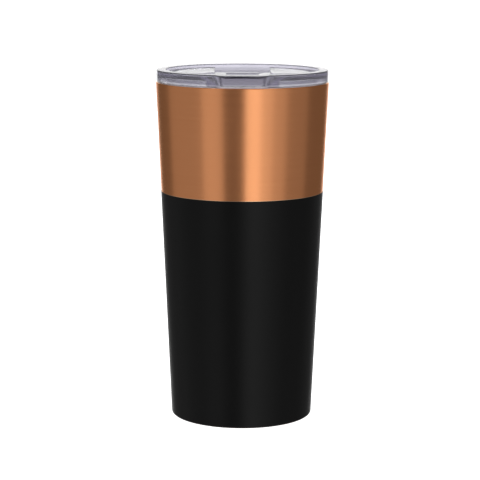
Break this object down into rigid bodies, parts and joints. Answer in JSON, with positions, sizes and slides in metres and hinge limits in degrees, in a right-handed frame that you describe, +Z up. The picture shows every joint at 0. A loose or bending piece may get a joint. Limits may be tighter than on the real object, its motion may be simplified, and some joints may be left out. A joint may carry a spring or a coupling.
{
  "type": "insulated tumbler with lid",
  "caption": "Double-walled vacuum tumbler with a straight taper, copper-finished upper band, black lower coat and a clear push-in lid with a sliding drink closure.",
  "frame": {"origin": "centre of the ring that the tumbler stands on, on the surface it stands on", "axes": "+Z up along the tumbler's axis, -Y towards the drinker, where the drink slot and the lift tab are, +X to the right seen from there"},
  "size_m": [0.0859, 0.0904, 0.1746],
  "materials": {
    "copper_finish": "satin brushed, copper-coloured finish",
    "black_coat": "satin powder coat",
    "liner_steel": "electropolished",
    "shield_foil": "bright copper foil",
    "pressed_steel": "as pressed",
    "base_steel": "circular brushed",
    "getter_metal": "sintered, matte",
    "seal_glass": "fused bead",
    "silicone": "matte translucent silicone",
    "clear_lid": "clear, slightly smoky moulding",
    "clear_slider": "clear, slightly smoky moulding"
  },
  "bodies": {
    "cup": {"outer_shell": "copper_finish", "black_coat": "black_coat", "inner_liner": "liner_steel", "heat_shield_foil": "shield_foil", "outer_bottom": "pressed_steel", "getter_holder": "pressed_steel", "getter": "getter_metal", "vacuum_seal": "seal_glass", "base_plate": "base_steel"},
    "gasket": {"lid_gasket": "silicone"},
    "lid": {"lid_body": "clear_lid"},
    "slider": {"slider": "clear_slider", "slider_seal": "silicone"}
  },
  "joints": [
    {"name": "lid_lift", "type": "slide", "parent": "cup", "child": "gasket", "axis": [0, 0, 1], "range_m": [0, 0.05]},
    {"name": "lid_turn", "type": "hinge", "parent": "gasket", "child": "lid", "pos_m": [0, 0, 0.1652], "axis": [0, 0, 1], "continuous": true},
    {"name": "slider_slide", "type": "slide", "parent": "lid", "child": "slider", "axis": [0, -1, 0], "range_m": [0, 0.014]}
  ]
}
